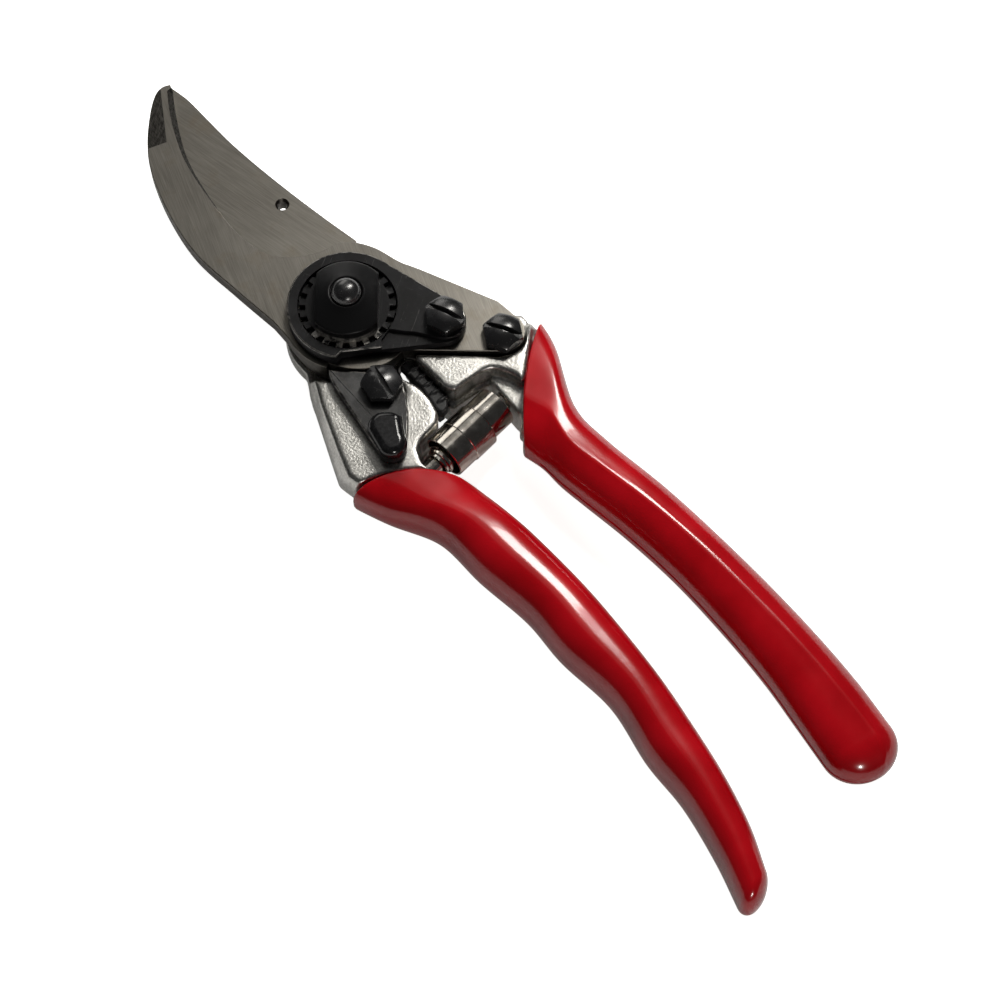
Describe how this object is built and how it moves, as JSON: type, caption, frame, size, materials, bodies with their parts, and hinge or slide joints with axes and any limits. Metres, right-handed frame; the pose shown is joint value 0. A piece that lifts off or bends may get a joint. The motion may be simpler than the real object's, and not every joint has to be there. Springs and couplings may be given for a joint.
{
  "type": "pruning shears",
  "caption": "Bypass pruning shears with a curved hook blade, a toothed pivot lock, a thumb catch, a volute spring and dipped handles, closed and latched.",
  "frame": {"origin": "on the pivot bolt's axis, at the flat back face of its head", "axes": "+Z along the pivot bolt towards its nut, +Y along the tool towards the blade tips, +X towards the handle that carries the hook blade"},
  "size_m": [0.0545, 0.2125, 0.0243],
  "materials": {
    "hook_steel": "satin, brushed across the blade",
    "blade_steel": "satin, ground",
    "cast_alloy": "tumbled satin",
    "red_coating": "glossy dipped coating",
    "black_steel": "blackened, slightly worn",
    "black_plastic": "glossy",
    "nickel": "bright nickel plate",
    "black_rubber": "semi-matt"
  },
  "bodies": {
    "upper_handle": {"hook_blade": "hook_steel", "upper_casting": "cast_alloy", "upper_grip": "red_coating", "center_bolt": "black_steel", "tension_nut": "black_steel", "lock_segment": "black_steel", "segment_screw": "black_steel", "hook_blade_screw": "black_steel", "volute_spring": "nickel", "upper_spring_peg": "nickel"},
    "lower_handle": {"cutting_blade": "blade_steel", "lower_casting": "cast_alloy", "lower_grip": "red_coating", "blade_pin": "black_steel", "shock_cushion": "black_rubber", "lower_spring_peg": "nickel", "catch_screw": "black_steel", "catch_washer": "black_steel"},
    "thumb_catch": {"thumb_catch": "black_steel", "catch_knob": "black_plastic"}
  },
  "joints": [
    {"name": "handles_open", "type": "hinge", "parent": "upper_handle", "child": "lower_handle", "pos_m": [0, 0, 0.0085], "axis": [0, 0, -1], "range_deg": [0, 25], "deforming": ["volute_spring"]},
    {"name": "catch_turn", "type": "hinge", "parent": "lower_handle", "child": "thumb_catch", "pos_m": [-0.0052, -0.0181, 0.0135], "axis": [0, 0, 1], "range_deg": [0, 14]}
  ]
}
